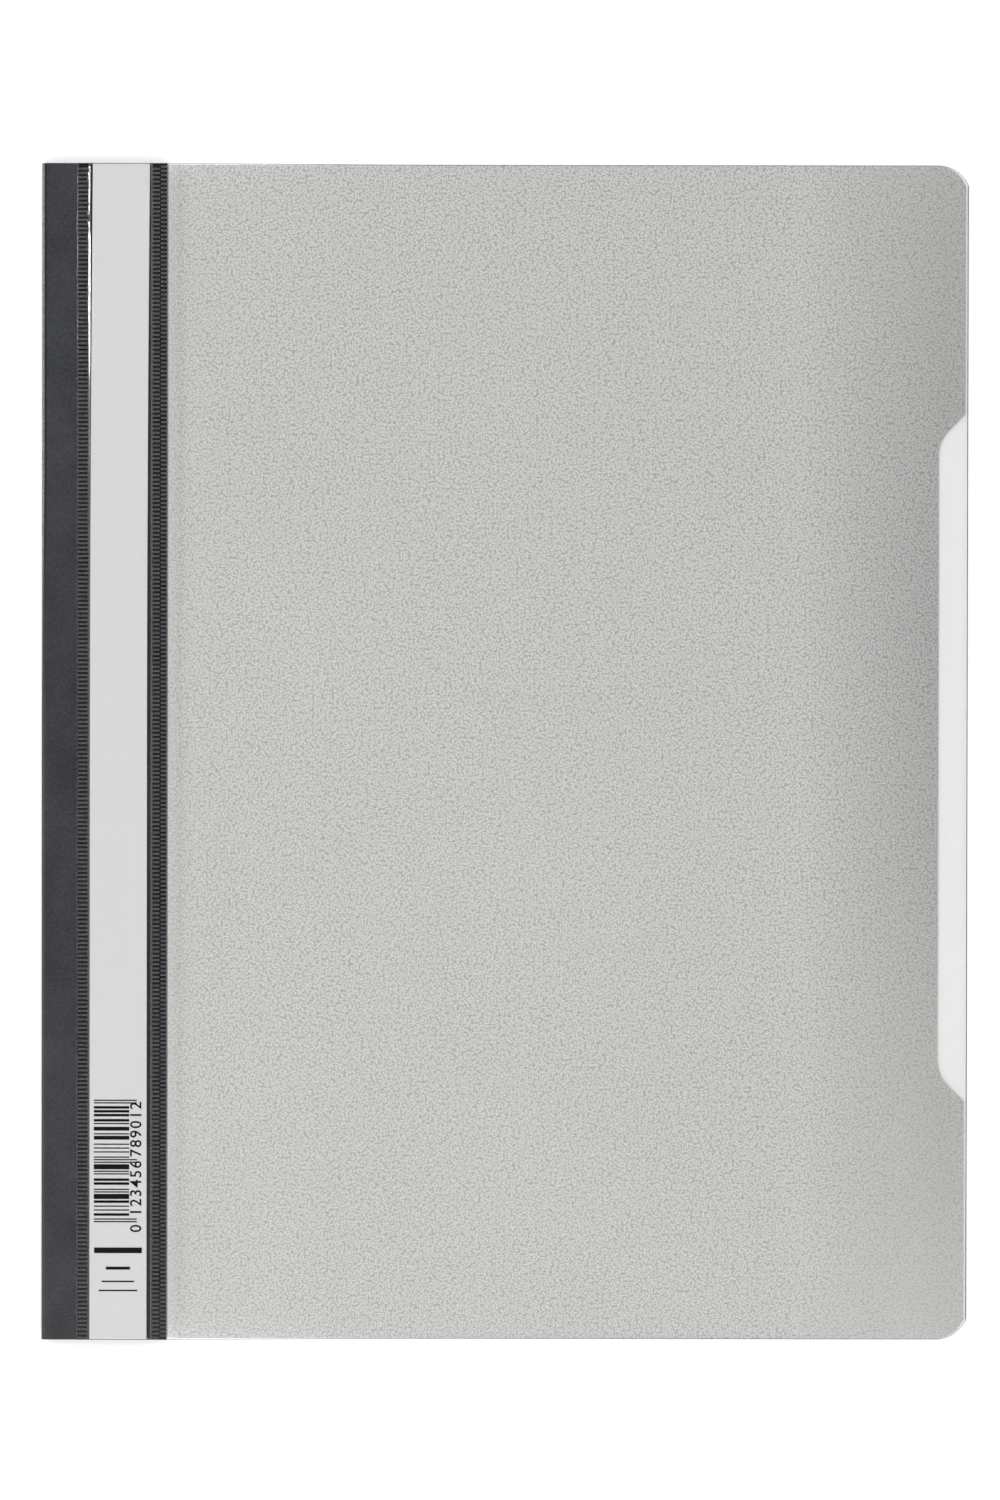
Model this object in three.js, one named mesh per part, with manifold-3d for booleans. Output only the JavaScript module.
// A clear view folder for A4 paper, in millimetres, lying closed on its back cover.
// X runs from the spine fold to the fore edge, Y up the sheet, Z up from the table.
// A dark spine film folds round the spine. The opaque back cover is welded under it and the clear
// front cover over it, each along two lines, so that each pair of welds leaves a long pocket.
// The front pocket holds a paper label and the back pocket the base of a two-prong fastener.

import * as THREE from "three";
import { mergeVertices } from "three/addons/utils/BufferGeometryUtils.js";
import Module from "manifold-3d";

const wasm = await Module();
wasm.setup();

// Outline of the folder
const folderHeight = 310;
const frontWidth = 244.3; // from the fold to the clear cover's fore edge
const foreSetback = 0.7; // the back cover stops this far short of the clear one
const cornerRadius = 8.5;
const cornerTrim = 0.6; // the fore edge is cut this far inside the corner arcs

// Thumb notch in the back cover's fore edge
const notchLength = 181.5;
const notchDepth = 7;
const notchRadius = 10;
const notchCentreY = -1.3;

// Sheet thicknesses
const backFilm = 0.35;
const frontFilm = 0.25;
const spineFilm = 0.3;
const labelCard = 0.2;
const fastenerSteel = 0.3;
const barSteel = 0.35;
const sliderSteel = 0.3;

// Welds, counted from the spine fold to the fore edge
const coverEdge = 9.3; // where both covers start on the spine film
const weldMargin = 0.4; // unwelded lip beside a weld
const spineWeld = 2.6; // width of the weld nearer the fold
const pocketWidth = 17;
const foreWeld = 3.75; // width of the weld nearer the fore edge
const spineFilmLip = 0.15;
const weldSink = 0.08; // depth that the weld presses into a cover
const pocketRise = 0.5; // width of the slope from a weld up to a pocket

// Paper label in the front pocket
const labelWidth = 15;
const labelSideGap = 0.55; // from the weld nearer the fold to the label
const labelEndGap = 0.1;
const labelBow = 0.65; // the label's top end leans this far towards the fore edge

// Two-prong fastener
const prongSpacing = 80; // the usual spacing of the holes in filed paper
const prongWidth = 5.5;
const prongReach = 22; // from the bend to the tip, along the bar
const prongBend = 0.25; // inside radius
const baseWidth = 9;
const slotClearance = 0.3;

// Cover bar and its two sliders
const barTroughWidth = 7; // inside
const barFlange = 1.9; // width of each side flange
const barEndStop = 2; // length of the wider end that stops a slider
const openSliderGap = 0.5; // from the prong's tip to an open slider, and from there to the stop
const barEndFlare = 1.1; // how far that end stands out on each side
const barCorner = 1.5;
const sliderLength = 10;
const sliderLip = 2.2;
const sliderHold = 10; // length of prong that a closed slider covers
const slideClearance = 0.15;
const lipClearance = 0.2;

// Clearances between the films, and of the closed cover
const filmGap = 0.05;
const foldGap = 0.05; // between the two halves of the fold
const coverClearance = 0.8; // from the sliders to the front half of the spine film
const coverGap = 0.3; // between the two covers where they lie together
const drapeStart = 36; // the clear cover starts to sink here, beyond the stiff strip
const drapeEnd = 110; // and lies along the back cover from here on

// Positions across the folder, from the fold
const spineWeldEnd = coverEdge + weldMargin + spineWeld;
const foreWeldStart = spineWeldEnd + pocketWidth;
const foreWeldEnd = foreWeldStart + foreWeld;
const spineFilmWidth = foreWeldEnd + spineFilmLip;
const backWidth = frontWidth - foreSetback;
const fastenerX = spineWeldEnd + pocketWidth / 2;

// Positions along the fastener, from its middle
const prongTipY = prongSpacing / 2 + prongReach;
const barStopY = prongTipY + openSliderGap + sliderLength + openSliderGap;
const barEndY = barStopY + barEndStop;

// Heights of undersides, worked up from the table
const backStripZ = backFilm + filmGap;
const baseZ = backFilm + filmGap;
const backPocketZ = baseZ + fastenerSteel + filmGap;
const barZ = backPocketZ + spineFilm + filmGap;
const prongZ = barZ + barSteel + filmGap;
const lipZ = barZ + slideClearance;
const flangeZ = lipZ + sliderSteel + lipClearance;
const sliderTopZ = flangeZ + barSteel + slideClearance;
const frontStripZ = sliderTopZ + sliderSteel + coverClearance;
const labelZ = frontStripZ + spineFilm + filmGap;
const frontWeldZ = labelZ;
const frontPocketZ = labelZ + labelCard + filmGap;
const frontRestZ = backFilm + coverGap;
const thickness = frontPocketZ + frontFilm;
const hingeZ = thickness / 2; // the crease of the fold, at half the folder's thickness

// Smoothness
const arcSteps = 10;
const drapeSteps = 14;
const mergeDistance = 1e-4;

// Directions in which a drawn section is extruded, as the images of its own axes
const alongY = new THREE.Matrix4().makeBasis(
  new THREE.Vector3(1, 0, 0),
  new THREE.Vector3(0, 0, 1),
  new THREE.Vector3(0, -1, 0),
);
const alongX = new THREE.Matrix4().makeBasis(
  new THREE.Vector3(0, 1, 0),
  new THREE.Vector3(0, 0, 1),
  new THREE.Vector3(1, 0, 0),
);

// A closed geometry as a solid that can be cut.
function solidFrom(geometry) {
  const bare = geometry.index ? geometry.toNonIndexed() : geometry.clone();
  bare.deleteAttribute("normal");
  bare.deleteAttribute("uv");
  const merged = mergeVertices(bare, mergeDistance);
  return new wasm.Manifold(
    new wasm.Mesh({
      numProp: 3,
      vertProperties: merged.attributes.position.array,
      triVerts: new Uint32Array(merged.index.array),
    }),
  );
}

function geometryFrom(solid) {
  const mesh = solid.getMesh();
  const geometry = new THREE.BufferGeometry();
  geometry.setAttribute("position", new THREE.BufferAttribute(mesh.vertProperties, 3));
  geometry.setIndex(new THREE.BufferAttribute(mesh.triVerts, 1));
  geometry.computeVertexNormals();
  return geometry;
}

// A plan drawn in X and Y, from one height to another.
function plate(shape, bottom, height) {
  const geometry = new THREE.ExtrudeGeometry(shape, {
    depth: height,
    bevelEnabled: false,
    curveSegments: arcSteps,
  });
  geometry.translate(0, 0, bottom);
  return solidFrom(geometry);
}

// A section drawn in X and Z, centred on the given Y.
function lengthwise(section, length, centreY = 0) {
  const geometry = new THREE.ExtrudeGeometry(section, {
    depth: length,
    bevelEnabled: false,
    curveSegments: drapeSteps,
  });
  geometry.translate(0, 0, -length / 2 - centreY);
  geometry.applyMatrix4(alongY);
  return solidFrom(geometry);
}

function box(centreX, centreY, bottom, sizeX, sizeY, sizeZ) {
  const geometry = new THREE.BoxGeometry(sizeX, sizeY, sizeZ);
  geometry.translate(centreX, centreY, bottom + sizeZ / 2);
  return solidFrom(geometry);
}

function polygon(points) {
  return new THREE.Shape(points.map(([x, y]) => new THREE.Vector2(x, y)));
}

// A cover's plan: square at the spine and rounded at the fore edge, which may have a notch.
function coverPlan(right, notch) {
  const half = folderHeight / 2;
  const arcX = right - cornerRadius + cornerTrim;
  const arcY = half - cornerRadius;
  const arcEnd = Math.acos((right - arcX) / cornerRadius);
  const shape = new THREE.Shape();
  shape.moveTo(coverEdge, -half);
  shape.lineTo(arcX, -half);
  shape.absarc(arcX, -arcY, cornerRadius, -Math.PI / 2, -arcEnd, false);
  if (notch) addThumbNotch(shape, right);
  shape.lineTo(right, arcY + cornerRadius * Math.sin(arcEnd));
  shape.absarc(arcX, arcY, cornerRadius, arcEnd, Math.PI / 2, false);
  shape.lineTo(coverEdge, half);
  return shape;
}

// The notch leaves the fore edge at 45 degrees and turns into its long side on an arc.
function addThumbNotch(shape, right) {
  const lead = notchDepth - notchRadius * (1 - Math.SQRT1_2);
  const arcX = right - notchDepth + notchRadius;
  const arcY = notchLength / 2 - lead - notchRadius * Math.SQRT1_2;
  const lowArcY = notchCentreY - arcY;
  const highArcY = notchCentreY + arcY;
  shape.lineTo(right, notchCentreY - notchLength / 2);
  shape.absarc(arcX, lowArcY, notchRadius, Math.PI * 1.25, Math.PI, true);
  shape.absarc(arcX, highArcY, notchRadius, Math.PI, Math.PI * 0.75, true);
  shape.lineTo(right, notchCentreY + notchLength / 2);
}

// The opaque back cover. Both welds are pressed into its underside.
function makeBackCover() {
  const section = polygon([
    [0, 0],
    [coverEdge + weldMargin, 0],
    [coverEdge + weldMargin, weldSink],
    [spineWeldEnd, weldSink],
    [spineWeldEnd, 0],
    [foreWeldStart, 0],
    [foreWeldStart, weldSink],
    [foreWeldEnd, weldSink],
    [foreWeldEnd, 0],
    [frontWidth, 0],
    [frontWidth, backFilm],
    [0, backFilm],
  ]);
  const film = lengthwise(section, folderHeight + 2 * cornerRadius);
  return film.intersect(plate(coverPlan(backWidth, true), -1, 2));
}

// The back half of the spine film: a quarter turn of the fold, then the strip under the fastener.
function makeSpineStripBack() {
  const arcZ = hingeZ - foldGap / 2;
  const foldRadius = arcZ - backStripZ;
  const section = new THREE.Shape();
  section.moveTo(0, arcZ);
  section.absarc(foldRadius, arcZ, foldRadius, Math.PI, Math.PI * 1.5, false);
  section.lineTo(spineWeldEnd, backStripZ);
  section.lineTo(spineWeldEnd + pocketRise, backPocketZ);
  section.lineTo(foreWeldStart - pocketRise, backPocketZ);
  section.lineTo(foreWeldStart, backStripZ);
  section.lineTo(spineFilmWidth, backStripZ);
  section.lineTo(spineFilmWidth, backStripZ + spineFilm);
  section.lineTo(foreWeldStart, backStripZ + spineFilm);
  section.lineTo(foreWeldStart - pocketRise, backPocketZ + spineFilm);
  section.lineTo(spineWeldEnd + pocketRise, backPocketZ + spineFilm);
  section.lineTo(spineWeldEnd, backStripZ + spineFilm);
  section.lineTo(foldRadius, backStripZ + spineFilm);
  section.absarc(foldRadius, arcZ, foldRadius - spineFilm, Math.PI * 1.5, Math.PI, true);
  return cutProngSlots(lengthwise(section, folderHeight), backPocketZ, spineFilm);
}

// The front half of the spine film, flat from the fold to the fore edge weld.
function makeSpineStripFront() {
  const arcZ = hingeZ + foldGap / 2;
  const top = frontStripZ + spineFilm;
  const foldRadius = top - arcZ;
  const section = new THREE.Shape();
  section.moveTo(0, arcZ);
  section.absarc(foldRadius, arcZ, foldRadius, Math.PI, Math.PI / 2, true);
  section.lineTo(spineFilmWidth, top);
  section.lineTo(spineFilmWidth, frontStripZ);
  section.lineTo(foldRadius, frontStripZ);
  section.absarc(foldRadius, arcZ, foldRadius - spineFilm, Math.PI / 2, Math.PI, false);
  return lengthwise(section, folderHeight);
}

// The clear front cover: two sunk welds with the label pocket between them, then a soft
// S-shaped fall from the height of the strip to the back cover.
function makeFrontCover() {
  const weldTop = frontWeldZ + frontFilm;
  const sunkTop = weldTop - weldSink;
  const pocketTop = frontPocketZ + frontFilm;
  const restTop = frontRestZ + frontFilm;
  const drapeMiddle = (drapeStart + drapeEnd) / 2;
  const section = new THREE.Shape();
  section.moveTo(0, frontWeldZ);
  section.lineTo(spineWeldEnd, frontWeldZ);
  section.lineTo(spineWeldEnd + pocketRise, frontPocketZ);
  section.lineTo(foreWeldStart - pocketRise, frontPocketZ);
  section.lineTo(foreWeldStart, frontWeldZ);
  section.lineTo(drapeStart, frontWeldZ);
  section.bezierCurveTo(drapeMiddle, frontWeldZ, drapeMiddle, frontRestZ, drapeEnd, frontRestZ);
  section.lineTo(frontWidth, frontRestZ);
  section.lineTo(frontWidth, restTop);
  section.lineTo(drapeEnd, restTop);
  section.bezierCurveTo(drapeMiddle, restTop, drapeMiddle, weldTop, drapeStart, weldTop);
  section.lineTo(foreWeldEnd, weldTop);
  section.lineTo(foreWeldEnd, sunkTop);
  section.lineTo(foreWeldStart, sunkTop);
  section.lineTo(foreWeldStart - pocketRise, pocketTop);
  section.lineTo(spineWeldEnd + pocketRise, pocketTop);
  section.lineTo(spineWeldEnd, sunkTop);
  section.lineTo(coverEdge + weldMargin, sunkTop);
  section.lineTo(coverEdge + weldMargin, weldTop);
  section.lineTo(0, weldTop);
  const film = lengthwise(section, folderHeight + 2 * cornerRadius);
  return film.intersect(plate(coverPlan(frontWidth, false), 0, 2 * thickness));
}

// The paper label, straight up to its middle and leaning a little above it.
function makeLabelInsert() {
  const left = spineWeldEnd + labelSideGap;
  const right = left + labelWidth;
  const end = folderHeight / 2 - labelEndGap;
  const shape = new THREE.Shape();
  shape.moveTo(left, -end);
  shape.lineTo(right, -end);
  shape.lineTo(right, 0);
  shape.quadraticCurveTo(right, end / 2, right + labelBow, end);
  shape.lineTo(left + labelBow, end);
  shape.quadraticCurveTo(left, end / 2, left, 0);
  return plate(shape, labelZ, labelCard);
}

// The fastener's base strip, whose ends rise through the slots and fold down outwards.
function makeFastenerBase() {
  const outerBend = prongBend + fastenerSteel;
  const riseY = prongSpacing / 2 + fastenerSteel / 2;
  const footY = riseY - outerBend;
  const foldY = riseY + prongBend;
  const quarter = Math.PI / 2;
  const foldZ = prongZ - prongBend;
  const outline = new THREE.Path();
  outline.moveTo(0, baseZ);
  outline.absarc(footY, baseZ + outerBend, outerBend, -quarter, 0, false);
  outline.absarc(foldY, foldZ, prongBend, Math.PI, quarter, true);
  outline.lineTo(prongTipY, prongZ);
  outline.lineTo(prongTipY, prongZ + fastenerSteel);
  outline.absarc(foldY, foldZ, outerBend, quarter, Math.PI, false);
  outline.absarc(footY, baseZ + outerBend, prongBend, 0, -quarter, true);
  const upperHalf = outline.getPoints(arcSteps).slice(1);
  const lowerHalf = upperHalf.map((point) => new THREE.Vector2(-point.x, point.y)).reverse();
  const geometry = new THREE.ExtrudeGeometry(new THREE.Shape([...upperHalf, ...lowerHalf]), {
    depth: baseWidth,
    bevelEnabled: false,
  });
  geometry.translate(0, 0, fastenerX - baseWidth / 2);
  geometry.applyMatrix4(alongX);
  return solidFrom(geometry).intersect(plate(fastenerPlan(footY), 0, thickness));
}

// The wide base narrows to the prongs, which have round tips.
function fastenerPlan(shoulderY) {
  const halfProng = prongWidth / 2;
  const tipArcY = prongTipY - halfProng;
  const shape = new THREE.Shape();
  shape.moveTo(fastenerX + baseWidth / 2, -shoulderY + halfProng);
  shape.lineTo(fastenerX + baseWidth / 2, shoulderY - halfProng);
  shape.lineTo(fastenerX + halfProng, shoulderY);
  shape.absarc(fastenerX, tipArcY, halfProng, 0, Math.PI, false);
  shape.lineTo(fastenerX - halfProng, shoulderY);
  shape.lineTo(fastenerX - baseWidth / 2, shoulderY - halfProng);
  shape.lineTo(fastenerX - baseWidth / 2, -shoulderY + halfProng);
  shape.lineTo(fastenerX - halfProng, -shoulderY);
  shape.absarc(fastenerX, -tipArcY, halfProng, Math.PI, 2 * Math.PI, false);
  shape.lineTo(fastenerX + halfProng, -shoulderY);
  return shape;
}

function cutProngSlots(solid, bottom, height) {
  let result = solid;
  for (const side of [-1, 1]) {
    const slot = box(
      fastenerX,
      (side * prongSpacing) / 2,
      bottom - filmGap,
      prongWidth + 2 * slotClearance,
      fastenerSteel + 2 * slotClearance,
      height + 2 * filmGap,
    );
    result = result.subtract(slot);
  }
  return result;
}

// The pressed cover bar: a trough for the prongs between two raised flanges that guide the
// sliders, with flared ends that stop them.
function makeCoverBar() {
  const troughHalf = barTroughWidth / 2;
  const wallHalf = troughHalf + barSteel;
  const guideHalf = wallHalf + barFlange;
  const endHalf = guideHalf + barEndFlare;
  const top = flangeZ + barSteel;
  const halfSection = [
    [wallHalf, barZ],
    [wallHalf, flangeZ],
    [endHalf, flangeZ],
    [endHalf, top],
    [troughHalf, top],
    [troughHalf, barZ + barSteel],
  ];
  const otherHalf = halfSection.map(([x, z]) => [-x, z]).reverse();
  const section = polygon([...halfSection, ...otherHalf].map(([x, z]) => [fastenerX + x, z]));
  const bar = lengthwise(section, 2 * barEndY);
  const trimmed = bar.intersect(plate(barPlan(guideHalf, endHalf), 0, thickness));
  return cutProngSlots(trimmed, barZ, barSteel);
}

function barPlan(guideHalf, endHalf) {
  const corner = Math.min(barCorner, barEndStop);
  const upper = new THREE.Path();
  upper.moveTo(guideHalf, 0);
  upper.lineTo(guideHalf, barStopY);
  upper.lineTo(endHalf, barStopY);
  upper.absarc(endHalf - corner, barEndY - corner, corner, 0, Math.PI / 2, false);
  const quadrant = upper.getPoints(arcSteps).slice(1);
  const left = quadrant.map((point) => new THREE.Vector2(-point.x, point.y)).reverse();
  const top = [...quadrant, ...left];
  const bottom = top.map((point) => new THREE.Vector2(-point.x, -point.y));
  const outline = [...top, ...bottom];
  return new THREE.Shape(outline.map((point) => new THREE.Vector2(fastenerX + point.x, point.y)));
}

// A slider: a sleeve of sheet steel whose lips hook under the bar's flanges.
function makeSlider(side) {
  const flangeHalf = barTroughWidth / 2 + barSteel + barFlange;
  const innerHalf = flangeHalf + slideClearance;
  const outerHalf = innerHalf + sliderSteel;
  const lipEnd = outerHalf - sliderLip;
  const halfSection = [
    [lipEnd, lipZ],
    [outerHalf, lipZ],
    [outerHalf, sliderTopZ + sliderSteel],
  ];
  const halfInside = [
    [innerHalf, sliderTopZ],
    [innerHalf, lipZ + sliderSteel],
    [lipEnd, lipZ + sliderSteel],
  ];
  const mirror = (points) => points.map(([x, z]) => [-x, z]).reverse();
  const outline = [...halfSection, ...mirror(halfSection), ...mirror(halfInside), ...halfInside];
  const section = polygon(outline.map(([x, z]) => [fastenerX + x, z]));
  const centreY = prongTipY - sliderHold + sliderLength / 2;
  return lengthwise(section, sliderLength, side * centreY);
}

// Finishes
const greyFilm = { color: 0xbfbfbd, roughness: 0.6, metalness: 0 };
const clearFilm = { color: 0xeef0ec, roughness: 0.2, metalness: 0, transparent: true, opacity: 0.25 };
const darkFilm = { color: 0x404145, roughness: 0.5, metalness: 0 };
const whiteCard = { color: 0xe6e8e7, roughness: 0.8, metalness: 0 };
const platedSteel = { color: 0xc4c6c8, roughness: 0.3, metalness: 1 };

const folder = new THREE.Group();
folder.name = "clear_view_folder";
folder.position.x = -frontWidth / 2; // the origin is under the middle of the folder

function addPiece(name, solid, finish) {
  const mesh = new THREE.Mesh(geometryFrom(solid), new THREE.MeshStandardMaterial(finish));
  mesh.name = name;
  folder.add(mesh);
}

addPiece("back_cover", makeBackCover(), greyFilm);
addPiece("spine_strip_back", makeSpineStripBack(), darkFilm);
addPiece("spine_strip_front", makeSpineStripFront(), darkFilm);
addPiece("front_cover", makeFrontCover(), clearFilm);
addPiece("label_insert", makeLabelInsert(), whiteCard);
addPiece("fastener_base", makeFastenerBase(), platedSteel);
addPiece("cover_bar", makeCoverBar(), platedSteel);
addPiece("slider_upper", makeSlider(1), platedSteel);
addPiece("slider_lower", makeSlider(-1), platedSteel);

export default folder;
